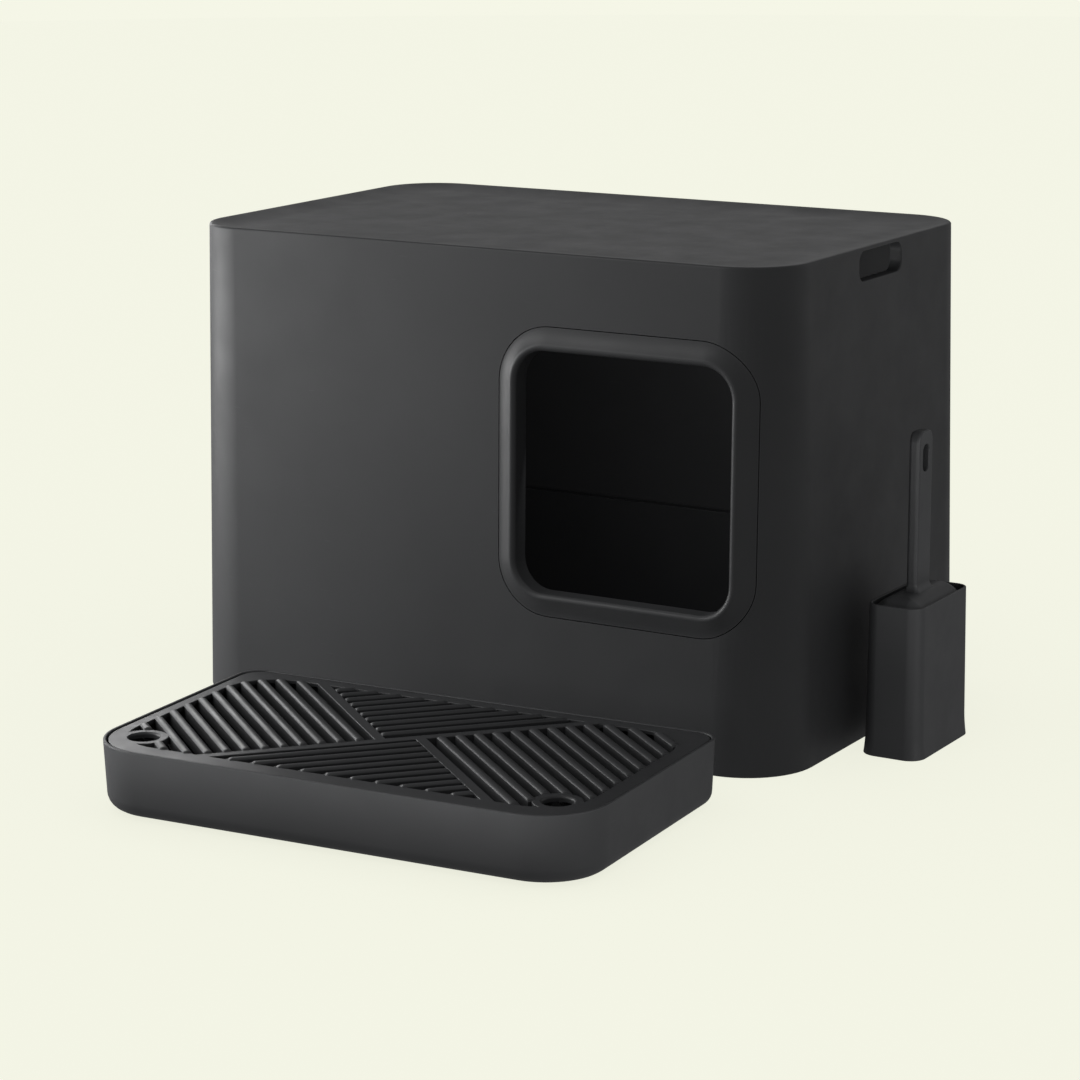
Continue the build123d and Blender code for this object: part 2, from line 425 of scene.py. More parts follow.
def moulded_plastic(name, seed, colour, roughness, grain_size, grain_depth, scuffs):
    """Satin moulded polypropylene: fine spark texture, cloudy gloss, faint scuffs and dust, and lighter
    rubbed edges that are also a painted highlight.
    """
    material = bpy.data.materials.new(name)
    material.use_nodes = True
    tree = material.node_tree
    shader = tree.nodes["Principled BSDF"]
    shader.inputs["IOR"].default_value = plastic_ior
    shader.inputs["Specular IOR Level"].default_value = plastic_specular
    place = tree.nodes.new("ShaderNodeTexCoord").outputs["Object"]

    # broad clouding of tone, as a big moulding shows
    clouds = node(tree, "ShaderNodeTexNoise", Scale=7.0 + seed, Detail=3.0, Roughness=0.5)
    tree.links.new(place, clouds.inputs["Vector"])
    tone = ramp(tree, clouds.outputs["Fac"], 0.3, 0.7, 0.93, 1.07)

    # the spark texture of the mould
    grain = node(tree, "ShaderNodeTexNoise", Scale=1.0 / (grain_size * MM), Detail=2.0, Roughness=0.55)
    tree.links.new(place, grain.inputs["Vector"])
    fleck = ramp(tree, grain.outputs["Fac"], 0.35, 0.65, 0.96, 1.04)

    # hair-fine scuffs, long in one direction
    stretch = node(tree, "ShaderNodeMapping", Scale=(60.0, 60.0, 900.0), Rotation=(0.5, 0.9 + seed, 0.3))
    tree.links.new(place, stretch.inputs["Vector"])
    scratch = node(tree, "ShaderNodeTexNoise", Scale=1.0, Detail=4.0, Roughness=0.6)
    tree.links.new(stretch.outputs["Vector"], scratch.inputs["Vector"])
    patches = node(tree, "ShaderNodeTexNoise", Scale=16.0 + seed, Detail=2.0)
    tree.links.new(place, patches.inputs["Vector"])
    scuffed = multiply(
        tree,
        ramp(tree, scratch.outputs["Fac"], 0.66, 0.74, 0.0, scuffs),
        ramp(tree, patches.outputs["Fac"], 0.5, 0.66, 0.0, 1.0),
    )
    # edges rubbed lighter: real wear, and also a painted highlight along the rims
    rubbed_edges_and_highlight = multiply(
        tree,
        edge_wear_and_highlight_mask(tree, edge_wear_and_highlight_reach),
        ramp(tree, patches.outputs["Fac"], 0.3, 0.7, 0.45, 0.9),
    )
    stronger = tree.nodes.new("ShaderNodeMath")
    stronger.operation = "MAXIMUM"
    tree.links.new(scuffed, stronger.inputs[0])
    tree.links.new(rubbed_edges_and_highlight, stronger.inputs[1])
    scuffs_and_edge_highlight = stronger.outputs[0]

    # the colour turns lighter where scuffed and at the edges; at the edges this is also a painted highlight
    base = tree.nodes.new("ShaderNodeMix")
    base.data_type = "RGBA"
    base.inputs["A"].default_value = (*colour, 1.0)
    base.inputs["B"].default_value = (*[min(1.0, part * 1.8 + 0.01) for part in colour], 1.0)
    tree.links.new(scuffs_and_edge_highlight, base.inputs["Factor"])
    shade = tree.nodes.new("ShaderNodeVectorMath")
    shade.operation = "SCALE"
    tree.links.new(base.outputs["Result"], shade.inputs[0])
    tree.links.new(multiply(tree, tone, fleck), shade.inputs["Scale"])
    tree.links.new(shade.outputs["Vector"], shader.inputs["Base Color"])

    gloss = node(tree, "ShaderNodeTexNoise", Scale=24.0 + seed, Detail=5.0, Roughness=0.6)
    tree.links.new(place, gloss.inputs["Vector"])
    satin = ramp(tree, gloss.outputs["Fac"], 0.3, 0.7, roughness - 0.05, roughness + 0.06)
    rough = tree.nodes.new("ShaderNodeMath")
    rough.operation = "ADD"
    tree.links.new(satin, rough.inputs[0])
    tree.links.new(ramp(tree, scuffs_and_edge_highlight, 0.0, 1.0, 0.0, -0.12), rough.inputs[1])
    tree.links.new(rough.outputs[0], shader.inputs["Roughness"])

    bump = node(tree, "ShaderNodeBump", Strength=grain_depth, Distance=0.25 * MM)
    tree.links.new(grain.outputs["Fac"], bump.inputs["Height"])
    # a slow waviness, the slight sink of thick mouldings
    waves = node(tree, "ShaderNodeTexNoise", Scale=9.0 + seed, Detail=1.0)
    tree.links.new(place, waves.inputs["Vector"])
    sink = node(tree, "ShaderNodeBump", Strength=0.12, Distance=2.0 * MM)
    tree.links.new(waves.outputs["Fac"], sink.inputs["Height"])
    tree.links.new(sink.outputs["Normal"], bump.inputs["Normal"])
    tree.links.new(bump.outputs["Normal"], shader.inputs["Normal"])
    return material


def moulded_rubber(name):
    """Matte black rubber with a coarse, slightly dusty skin."""
    material = bpy.data.materials.new(name)
    material.use_nodes = True
    tree = material.node_tree
    shader = tree.nodes["Principled BSDF"]
    place = tree.nodes.new("ShaderNodeTexCoord").outputs["Object"]
    dust = node(tree, "ShaderNodeTexNoise", Scale=120.0, Detail=5.0)
    tree.links.new(place, dust.inputs["Vector"])
    tree.links.new(ramp(tree, dust.outputs["Fac"], 0.3, 0.7, 0.72, 0.9), shader.inputs["Roughness"])
    tint = tree.nodes.new("ShaderNodeMix")
    tint.data_type = "RGBA"
    tint.inputs["A"].default_value = (0.012, 0.012, 0.013, 1.0)
    tint.inputs["B"].default_value = (0.03, 0.03, 0.031, 1.0)
    tree.links.new(dust.outputs["Fac"], tint.inputs["Factor"])
    tree.links.new(tint.outputs["Result"], shader.inputs["Base Color"])
    skin = node(tree, "ShaderNodeTexNoise", Scale=2200.0, Detail=2.0)
    tree.links.new(place, skin.inputs["Vector"])
    bump = node(tree, "ShaderNodeBump", Strength=0.3, Distance=0.2 * MM)
    tree.links.new(skin.outputs["Fac"], bump.inputs["Height"])
    tree.links.new(bump.outputs["Normal"], shader.inputs["Normal"])
    return material


lit = bpy.data.collections.new("lit_pieces")
bpy.context.scene.collection.children.link(lit)
low_lit = bpy.data.collections.new("low_pieces")
bpy.context.scene.collection.children.link(low_lit)

# slot, colour, roughness, size of the spark texture in mm, its depth, how scuffed it is
plastics = (
    ("hood_plastic", (0.050, 0.051, 0.053), 0.50, 0.55, 0.10, 0.5),
    ("bezel_plastic", (0.049, 0.050, 0.052), 0.44, 0.5, 0.07, 0.5),
    ("pan_plastic", (0.040, 0.041, 0.043), 0.48, 0.6, 0.10, 0.5),
    ("tray_plastic", (0.050, 0.051, 0.053), 0.50, 0.55, 0.10, 0.5),
    ("grid_plastic", (0.050, 0.051, 0.053), 0.40, 0.5, 0.06, 0.8),
    ("holder_plastic", (0.049, 0.050, 0.052), 0.50, 0.55, 0.10, 0.5),
    ("scoop_plastic", (0.047, 0.048, 0.050), 0.46, 0.5, 0.08, 0.5),
)
materials = {}
for seed, (slot_name, *look) in enumerate(plastics):
    materials[slot_name] = moulded_plastic(slot_name, seed, *look)
materials["foot_rubber"] = moulded_rubber("foot_rubber")

# ---------------------------------------------------------------- hood shell

hood_outline = rounded_outline(hood_length, hood_depth, hood_corner)
rim_inset = hood_lean + rim_width
dish_inset = rim_inset + dish_slope
draft = math.atan(hood_lean / hood_height)


def hood_inset(z):
    """How far the leaning wall has come in at a height."""
    return hood_lean * z / hood_height


entry_place = plane_matrix(
    (entry_x, -hood_depth / 2 + hood_inset(entry_z), entry_z),
    (1, 0, 0),
    (0, math.sin(draft), math.cos(draft)),
)


def build_hood():
    """The hood: one skin from inner ceiling to outer dish, with slots and entry cut."""
    edge = 0.6
    ceiling = hood_height - wall
    profile = [(dish_inset, ceiling - dish_drop), (rim_inset + 2, ceiling - 0.2)]
    profile += [(wall + hood_inset(ceiling) + 0.3, ceiling - 0.9), (wall + hood_inset(ceiling), ceiling - 3)]
    profile += arc(wall - edge, edge, edge, 0, -90, 3)
    profile += arc(edge, edge, edge, -90, -180, 3)
    profile += arc(hood_lean + top_round, hood_height - top_round, top_round, 180, 90, 8)
    cove_steps = 10
    for step in range(cove_steps + 1):
        along = step / cove_steps
        drop = dish_drop * (1 - (1 - along) ** 2)
        profile.append((rim_inset + dish_slope * along, hood_height - drop))
    hood = shell("hood_shell_moulding", hood_outline, profile)

    lip_outline = rounded_outline(
        slot_width + 2 * slot_lip, slot_height + 2 * slot_lip_over, slot_corner + slot_lip_over
    )
    cut_outline = rounded_outline(slot_width, slot_height, slot_corner)
    face = hood_length / 2 - hood_inset(slot_middle_z)
    lip_end = face - wall - slot_lip_depth
    lip_profile = [(0, face - wall + 1), (0, lip_end + 0.8), (0.3, lip_end + 0.3), (0.8, lip_end)]
    cut_profile = [(-slot_edge_round - 0.6, face + 6), (-slot_edge_round - 0.6, face + 0.4)]
    cut_profile += mouth(slot_edge_round, (0, 22, 45, 68, 90), face + slot_mouth_lift)
    cut_profile += [(0, lip_end + 0.5), (-0.4, lip_end - 0.1), (-0.4, lip_end - 1)]
    for side in (1, -1):
        place = plane_matrix((0, 0, slot_middle_z), (0, side, 0), (0, 0, 1))
        join(hood, shell("slot_lip", lip_outline, lip_profile, place))
        cut(hood, shell("slot_cutter", cut_outline, cut_profile, place))

    aperture = rounded_outline(
        bezel_width + 2 * joint_gap, bezel_height + 2 * joint_gap, bezel_corner + joint_gap
    )
    cut(hood, shell("entry_cutter", aperture, [(0, -cutter_reach), (0, cutter_reach)], entry_place))
    finish_piece(hood, "hood", "hood_plastic", ["hood_shell"], 30)


# ---------------------------------------------------------------- entry bezel


def hood_surface(across, up, depth):
    """How far the hood's wall, depth below its skin, stands off the entry's drawing plane."""
    spot = entry_place @ Vector((across, up, 0))
    corner_x = hood_length / 2 - hood_corner
    corner_y = hood_depth / 2 - hood_corner
    radius = hood_corner - hood_inset(spot.z) - depth
    past = max(0.0, spot.x - corner_x)
    skin_y = -corner_y - math.sqrt(max(radius**2 - past**2, 0.0))
    return (spot.y - skin_y) / math.cos(draft)


def build_bezel():
    """The bezel: a ring that follows the rounded corner, with a throat and a flange."""
    entry_outline = rounded_outline(entry_width, entry_height, entry_corner)
    bezel_outline = rounded_outline(bezel_width, bezel_height, bezel_corner)
    nose_out = crest_round * (1 - math.cos(math.radians(crest_start)))
    nose_height = crest_proud - crest_round * (1 - math.sin(math.radians(crest_start)))

    def loop(outline, inset, height):
        points = []
        for x, y in outline(inset):
            points.append(entry_place @ Vector((x, y, height(x, y))))
        return points

    def cove_loop(share):
        lift = share**cove_power
        outer = bezel_outline(0)
        inner = entry_outline(-nose_out)
        points = []
        for (x0, y0), (x1, y1) in zip(outer, inner):
            x = x0 + (x1 - x0) * share
            y = y0 + (y1 - y0) * share
            height = (1 - lift) * hood_surface(x, y, 0) + lift * nose_height
            points.append(entry_place @ Vector((x, y, height)))
        return points

    loops = [
        loop(bezel_outline, 0.2, lambda x, y: hood_surface(x, y, 0.7)),
        loop(bezel_outline, 0.3, lambda x, y: hood_surface(x, y, 0.3)),
        loop(bezel_outline, 0.5, lambda x, y: hood_surface(x, y, 0.06)),
    ]
    cove_steps = 14
    loops += [cove_loop(0.03 + 0.97 * step / cove_steps) for step in range(cove_steps + 1)]
    nose = arc(-crest_round, crest_proud - crest_round, crest_round, crest_start, 0, 12)
    for inset, height in nose[1:]:
        loops.append(loop(entry_outline, inset, lambda x, y, h=height: h))
    for inset, height in (
        (0, -throat_depth + 0.8),
        (-0.3, -throat_depth + 0.2),
        (-0.8, -throat_depth),
        (-throat_wall + 0.6, -throat_depth),
        (-throat_wall, -throat_depth + 0.6),
    ):
        loops.append(loop(entry_outline, inset, lambda x, y, h=height: h))
    loops.append(loop(entry_outline, -throat_wall, lambda x, y: hood_surface(x, y, bezel_backing)))
    for inset, depth in (
        (-flange_reach + 0.3, bezel_backing),
        (-flange_reach, bezel_backing - 0.3),
        (-flange_reach, wall + flange_gap),
        (0, wall + flange_gap),
    ):
        loops.append(loop(bezel_outline, inset, lambda x, y, d=depth: hood_surface(x, y, d)))
    mesh = bmesh.new()
    add_loft(mesh, loops, ring=True)
    bezel = as_object("entry_bezel_moulding", mesh)
    finish_piece(bezel, "hood", "bezel_plastic", ["entry_bezel"], 30)


# ---------------------------------------------------------------- litter pan


def build_pan():
    """The litter pan, with its turned-down lip."""
    pan_outline = rounded_outline(pan_length, pan_depth, pan_corner)

    def lean_at(z):
        return pan_lean * (1 - z / pan_height)

    low = pan_floor_round
    inner_round = pan_floor_round - pan_wall
    skirt = pan_height - pan_lip_drop
    profile = arc(lean_at(low) + low, low, low, -90, -180, 6)
    profile += [(lean_at(pan_height - pan_wall) + 0.2, pan_height - pan_wall - 1)]
    profile += [(-0.8, pan_height - pan_wall), (pan_wall - pan_lip + 0.6, pan_height - pan_wall)]
    profile += [(pan_wall - pan_lip, pan_height - pan_wall - 0.6), (pan_wall - pan_lip, skirt + 0.4)]
    profile += [(pan_wall - pan_lip - 0.4, skirt), (-pan_lip + 0.6, skirt), (-pan_lip, skirt + 0.6)]
    outer = pan_lip_outer_round
    inner = pan_lip_inner_round
    profile += arc(-pan_lip + outer, pan_height - outer, outer, 180, 90, 5)
    profile += arc(pan_wall - inner, pan_height - inner, inner, 90, 0, 4)
    profile += arc(lean_at(low) + pan_wall + inner_round, low, inner_round, 180, 270, 6)
    pan = shell("litter_pan_moulding", pan_outline, profile)
    finish_piece(pan, "pan", "pan_plastic", ["litter_pan"])


# ---------------------------------------------------------------- foot-cleaning tray

feet = ["tray_foot_" + str(number) for number in range(1, 5)]
foot_middles = []
for foot in feet:
    foot_low, foot_high = box_mm(foot)
    foot_middles.append((foot_low + foot_high) / 2)
foot_middles.sort(key=lambda middle: middle.x)
tray_middle = sum(foot_middles, Vector()) / 4
tray_way = foot_middles[2] + foot_middles[3] - foot_middles[0] - foot_middles[1]
tray_turn = math.atan2(tray_way.y, tray_way.x)
tray_place = Matrix.Translation((tray_middle.x, tray_middle.y, 0)) @ Matrix.Rotation(tray_turn, 4, "Z")
tray_outline = rounded_outline(tray_length, tray_depth, tray_front_corner, tray_back_corner)
grid_top = tray_height - grid_below_rim
grid_seat = grid_top - grid_plate


def build_tray():
    """The tray: a basin with gussets for the grid and recesses for the feet."""
    def lean_at(z):
        return tray_lean * (tray_height - z) / (tray_height - foot_stand)

    low = foot_stand + tray_floor_round
    inner_round = tray_floor_round - tray_wall
    rim = tray_rim_round
    profile = arc(lean_at(low) + tray_floor_round, low, tray_floor_round, -90, -180, 7)
    profile += arc(rim, tray_height - rim, rim, 180, 90, 6)
    profile += arc(tray_wall - rim, tray_height - rim, rim, 90, 0, 6)
    profile += arc(lean_at(low) + tray_wall + inner_round, low, inner_round, 180, 270, 6)
    tray = shell("tray_base_moulding", tray_outline, profile, tray_place)

    inset = 2 * tray_wall + tray_lean + gusset_reach
    places = []
    for x in (-1.5, -0.5, 0.5, 1.5):
        for side in (-1, 1):
            spot = (x * gusset_spacing_x, side * (tray_depth - inset) / 2, 0)
            places.append(tray_place @ Matrix.Translation(spot))
    for side in (-1, 1):
        for y in (-0.5, 0.5):
            spot = (side * (tray_length - inset) / 2, y * gusset_spacing_y, 0)
            places.append(tray_place @ Matrix.Translation(spot) @ Matrix.Rotation(math.pi / 2, 4, "Z"))
    gusset = rounded_outline(gusset_thick, gusset_reach, gusset_round)
    gusset_foot = foot_stand + tray_floor_round
    edge = gusset_edge
    gusset_profile = [(edge, gusset_foot), (0, gusset_foot + edge), (0, grid_seat - edge), (edge, grid_seat)]
    join(tray, shells("gussets", gusset, gusset_profile, places))
    recess = [(0, foot_stand - 1), (0, foot_height - 0.2), (0.2, foot_height)]
    places = [Matrix.Translation((middle.x, middle.y, 0)) for middle in foot_middles]
    cut(tray, shells("foot_recesses", round_outline(foot_radius + foot_play), recess, places))
    finish_piece(tray, "foot_tray", "tray_plastic", ["tray_base"])


def build_feet():
    """Rubber feet with a ring pressed into the underside."""
    profile = [(7.2, 0), (6.9, 0.1), (6.6, foot_ring_depth)]
    profile += [(5.4, foot_ring_depth), (5.1, 0.1), (4.8, 0)]
    profile += arc(1.0, 1.0, 1.0, -90, -180, 5)
    profile += [(0, foot_height - 0.2), (0.2, foot_height)]
    for foot in feet:
        low, high = box_mm(foot)
        middle = (low + high) / 2
        place = Matrix.Translation((middle.x, middle.y, 0))
        rubber = shell(foot + "_rubber", round_outline(foot_radius), profile, place)
        finish_piece(rubber, "foot_tray", "foot_rubber", [foot])


# ---------------------------------------------------------------- lift-out grid

window_place = tray_place @ Matrix.Translation((window_x, window_y, grid_top))
rising = Vector((math.cos(rib_angle), math.sin(rib_angle), 0))
falling = Vector((math.cos(rib_angle), -math.sin(rib_angle), 0))


def in_window(spot):
    """Whether a spot is in the ribbed window and off the finger lands."""
    over_x = abs(spot.x) - (window_length / 2 - window_corner)
    over_y = abs(spot.y) - (window_depth / 2 - window_corner)
    reach = math.hypot(max(over_x, 0), max(over_y, 0)) + min(max(over_x, over_y), 0)
    to_land = math.hypot(abs(spot.x) - finger_x, spot.y - finger_y)
    return reach < window_corner and to_land > finger_land


def stretches(start, way, length=340, step=0.25):
    """The parts of a line that lie in the window: each is a start and an end along it."""
    found = []
    opened = None
    for number in range(int(length / step) + 1):
        along = number * step
        inside = in_window(start + way * along)
        if inside and opened is None:
            opened = along
        if not inside and opened is not None:
            found.append((opened, along))
            opened = None
    return [(first, last) for first, last in found if last - first > shortest_rib]


def placed_section(start, way, along, section):
    """One cross-section of a bar, as points in the grid's window."""
    side = Vector((-way.y, way.x, 0))
    points = []
    for across, z in section:
        points.append(window_place @ (start + way * along + side * across + Vector((0, 0, z))))
    return points


def rib_loops(start, way, first, last, half_width):
    """Cross-sections along a rib: upright sides and a rounded top that dips at its ends."""
    end_round = rib_end_round
    stations = [first - rib_overrun]
    stations += [first + end_round * (1 - math.cos(math.radians(a))) for a in (0, 18, 36, 54, 72, 90)]
    stations += [last - end_round * (1 - math.cos(math.radians(a))) for a in (90, 72, 54, 36, 18, 0)]
    stations += [last + rib_overrun]
    loops = []
    for along in stations:
        near = min(along - first, last - along)
        near = min(max(near, 0), end_round)
        fullness = math.sqrt(max(1 - (1 - near / end_round) ** 2, 0))
        height = (rib_crown + rib_edge_drop) * fullness
        section = [(-half_width, -grid_rib_depth), (half_width, -grid_rib_depth)]
        for angle in range(0, 181, 15):
            across = half_width * math.cos(math.radians(angle))
            section.append((across, -rib_edge_drop + height * math.sin(math.radians(angle))))
        loops.append(placed_section(start, way, along, section))
    return loops


def rib_lines():
    """Start and direction of every rib: two end fields falling, two middle fields rising."""
    for side in (1, -1):
        for number in range(ribs_per_field):
            rib = number + 0.5
            start = rising * side * (first_end_slot + rib * rib_pitch) + falling * side * bar_half
            yield start, falling * side
            start = -falling * side * (first_middle_slot + rib * rib_pitch) - rising * side * middle_rib_end
            yield start, rising * side


def flat_bar(name, start, way, first, last, half_width, drop):
    """A plain bar, level with the plate, with softly rounded long edges."""
    edge = 0.7
    loops = []
    for along in (first, last):
        section = [(-half_width, -grid_rib_depth + drop), (half_width, -grid_rib_depth + drop)]
        section += arc(half_width - edge, -drop - edge, edge, 0, 90, 4)
        section += arc(-half_width + edge, -drop - edge, edge, 90, 180, 4)
        loops.append(placed_section(start, way, along, section))
    mesh = bmesh.new()
    add_loft(mesh, loops)
    return as_object(name, mesh)


def build_grid():
    """The grid: a plate with a ribbed window, bars, finger lands and finger holes."""
    lean_at_seat = tray_lean * grid_plate / tray_height
    grid_inset = tray_wall + grid_gap + lean_at_seat
    window_outline = rounded_outline(window_length, window_depth, window_corner)
    edge = 0.8
    plate_level = tray_place @ Matrix.Translation((0, 0, grid_top))
    outer = [(grid_inset + 0.3, -grid_plate), (grid_inset, -grid_plate + 0.3)]
    outer += arc(grid_inset + edge, -edge, edge, 180, 90, 5)
    inner = arc(-edge, -edge, edge, 90, 0, 5) + [(0, -grid_plate + 0.3), (-0.3, -grid_plate)]
    mesh = bmesh.new()
    loops = profile_loops(tray_outline, outer, plate_level)
    loops += profile_loops(window_outline, inner, window_place)
    add_loft(mesh, loops, ring=True)
    grid = as_object("tray_grid_moulding", mesh)

    long_bar = stretches(Vector(), rising)[-1][1] + bar_overrun
    join(grid, flat_bar("long_bar", Vector(), rising, -long_bar, long_bar, bar_half, long_bar_drop))
    half_bar_out = first_end_slot - rib_slot / 2
    half_bar_middle = (half_bar_out + middle_rib_end) / 2
    half_bar_half = (half_bar_out - middle_rib_end) / 2
    for side in (1, -1):
        start = rising * side * half_bar_middle
        reach = stretches(start, falling * side)[-1][1] + bar_overrun
        bar = flat_bar("half_bar", start, falling * side, half_bar_start, reach, half_bar_half, half_bar_drop)
        join(grid, bar)
    land_profile = [(0, -grid_plate - 1), (0, -edge - finger_land_drop)]
    land_profile += arc(edge, -edge - finger_land_drop, edge, 180, 90, 4)
    places = [window_place @ Matrix.Translation((side * finger_x, finger_y, 0)) for side in (1, -1)]
    join(grid, shells("finger_lands", round_outline(finger_land), land_profile, places))

    ribs = bmesh.new()
    half_width = (rib_pitch - rib_slot) / 2
    for start, way in rib_lines():
        for first, last in stretches(start, way):
            add_loft(ribs, rib_loops(start, way, first, last, half_width))
    join(grid, as_object("ribs", ribs))

    hole_profile = [(-finger_edge_round, 3), (-finger_edge_round, 0.05)]
    hole_profile += mouth(finger_edge_round, (15, 30, 45, 60, 75, 90))
    hole_profile += [(0, -grid_rib_depth - 3)]
    cut(grid, shells("finger_holes", round_outline(finger_radius), hole_profile, places))
    finish_piece(grid, "grid", "grid_plastic", ["tray_grid"], 38)


# ---------------------------------------------------------------- scoop holder and scoop

holder_middle = (holder_low + holder_high) / 2
scoop_middle = (scoop_low + scoop_high) / 2
holder_place = Matrix.Translation((holder_middle.x, holder_middle.y, 0))
scoop_place = Matrix.Translation((scoop_middle.x, scoop_middle.y, 0))


def build_holder():
    """The scoop holder: a leaning tub with a flared foot."""
    outline = rounded_outline(holder_width, holder_depth, holder_corner)

    def lean_at(z):
        return holder_lean * z / holder_height

    foot = 0.6
    rim = holder_rim_round
    profile = arc(-holder_flare + foot, foot, foot, -90, -180, 4)
    steps = holder_flare_steps
    for step in range(1, steps + 1):
        z = foot + (holder_flare_height - foot) * step / steps
        profile.append((lean_at(z) - holder_flare * (1 - step / steps) ** holder_flare_power, z))
    profile += arc(holder_lean + rim, holder_height - rim, rim, 180, 90, 5)
    profile += arc(holder_lean + holder_wall - rim, holder_height - rim, rim, 90, 0, 5)
    inner = 3
    profile += arc(holder_wall + inner, holder_floor + inner, inner, 180, 270, 5)
    holder = shell("scoop_holder_moulding", outline, profile, holder_place)
    finish_piece(holder, "holder", "holder_plastic", ["scoop_holder"])


def build_scoop():
    """The scoop: a slotted basket, a domed shoulder and a handle with a hanging slot."""
    head_height = head_top - head_bottom
    plain = rounded_outline(head_width, head_height, head_tip_round, 2)

    def head_outline(inset):
        points = []
        for y, z in plain(inset):
            share = (z + head_height / 2) / head_height
            squeeze = head_tip_width / head_width
            points.append((y * (squeeze + (1 - squeeze) * share), z))
        return points

    def toward_x(z):
        return plane_matrix((scoop_middle.x, scoop_middle.y, z), (0, 1, 0), (0, 0, 1))

    back = head_thick / 2
    outer_round = head_tip_round / 2
    inner_round = outer_round - head_wall
    profile = arc(outer_round, -back + outer_round, outer_round, -90, -180, 6)
    profile += arc(0.8, back - 0.8, 0.8, 180, 90, 4)
    profile += arc(head_wall - 0.8, back - 0.8, 0.8, 90, 0, 4)
    profile += arc(outer_round, -back + outer_round, inner_round, 180, 270, 6)
    scoop = shell("scoop_moulding", head_outline, profile, toward_x((head_bottom + head_top) / 2))

    slot_outline = rounded_outline(sift_width, sift_length, sift_width / 2 - 0.01)
    slot_profile = [(-0.6, -back - 3), (-0.6, -back - 0.1), (0, -back + 0.6)]
    slot_profile += [(0, -back + head_wall - 0.6), (-0.6, -back + head_wall + 0.1)]
    slot_profile += [(-0.6, -back + head_wall + 3)]
    middle = (head_bottom + head_top) / 2
    places = [
        toward_x(middle) @ Matrix.Translation(((number - (sift_slots - 1) / 2) * sift_pitch, 0, 0))
        for number in range(sift_slots)
    ]
    cut(scoop, shells("sifting_slots", slot_outline, slot_profile, places))

    shoulder_outline = rounded_outline(
        head_thick + 2 * shoulder_lap_x, head_width + 2 * shoulder_lap_y, head_tip_round
    )
    low = head_top - head_wall
    profile = [(1.0, low), (0.3, low + 0.3), (0, low + 1), (0, head_top + shoulder_edge)]
    for step in range(1, 11):
        share = step / 10
        lift = (shoulder_rise - shoulder_edge) * (1 - (1 - share) ** shoulder_dome_power)
        profile.append((shoulder_dome * share, head_top + shoulder_edge + lift))
    join(scoop, shell("shoulder", shoulder_outline, profile, scoop_place))

    def handle_loop(half_x, half_y, z):
        outline = rounded_outline(2 * half_x, 2 * half_y, min(handle_corner, half_x - 0.1, half_y - 0.1))
        return [scoop_place @ Vector((x, y, z)) for x, y in outline(0)]

    half_x, half_y = handle_thick / 2, handle_width / 2
    root = head_top + shoulder_rise
    loops = [handle_loop(half_x + handle_flare, half_y + handle_flare, root - 5)]
    for angle in (0, 20, 40, 60, 80, 90):
        flare = handle_flare * (1 - math.sin(math.radians(angle)))
        z = root - 1 + handle_flare_rise * (1 - math.cos(math.radians(angle)))
        loops.append(handle_loop(half_x + flare, half_y + flare, z))
    for angle in (0, 12, 24, 36, 48, 60, 72, 80, 86):
        turned = math.radians(angle)
        z = handle_top - handle_round + handle_round * math.sin(turned)
        soft = 1.6 * max(0.0, math.sin(turned) - 0.9) / 0.1
        loops.append(handle_loop(half_x - soft, half_y - handle_round * (1 - math.cos(turned)), z))
    mesh = bmesh.new()
    add_loft(mesh, loops)
    join(scoop, as_object("handle", mesh))

    hang_outline = rounded_outline(hang_slot_width, hang_slot_length, hang_slot_width / 2 - 0.01)
    flare = 1.2
    hang_profile = [(-flare, -half_x - 3), (-flare, -half_x - 0.02)]
    for side in (-1, 1):
        steps = (15, 30, 45, 60, 75, 90) if side < 0 else (90, 75, 60, 45, 30, 15)
        hang_profile += [(inset, side * depth) for inset, depth in mouth(flare, steps, half_x)]
    hang_profile += [(-flare, half_x + 0.02), (-flare, half_x + 3)]
    cut(scoop, shell("hang_slot", hang_outline, hang_profile, toward_x(hang_slot_z)))
    finish_piece(scoop, "scoop", "scoop_plastic", ["scoop"], 34)


build_hood()
build_bezel()
build_pan()
build_tray()
build_feet()
build_grid()
build_holder()
build_scoop()

# ---------------------------------------------------------------- camera, floor and light


def make_camera():
    """A long lens from the front right, a little above the hood's middle."""
    azimuth = math.radians(31.02)
    elevation = math.radians(13.10)
    roll = math.radians(-0.248)
    distance = 2.922
    aim = Vector((-0.0472, 0.0094, 0.1243))
    back = Vector(
        (
            math.sin(azimuth) * math.cos(elevation),
            -math.cos(azimuth) * math.cos(elevation),
            math.sin(elevation),
        )
    )
    right = Vector((math.cos(azimuth), math.sin(azimuth), 0.0))
    up = back.cross(right)
    rolled_right = right * math.cos(roll) + up * math.sin(roll)
    rolled_up = up * math.cos(roll) - right * math.sin(roll)
    data = bpy.data.cameras.new("camera")
    data.lens = 106.97
    data.sensor_width = 36.0
    data.clip_start = 0.05
    data.clip_end = 100.0
    camera = bpy.data.objects.new("camera", data)
    bpy.context.scene.collection.objects.link(camera)
    turned = Matrix((rolled_right, rolled_up, back)).transposed().to_4x4()
    camera.matrix_world = Matrix.Translation(aim + back * distance) @ turned
    bpy.context.scene.camera = camera


paper = (0.913, 0.9216, 0.799, 1.0)
world_strength = 0.24
paper_sun_strength = 0.36
paper_sun_spread = 100


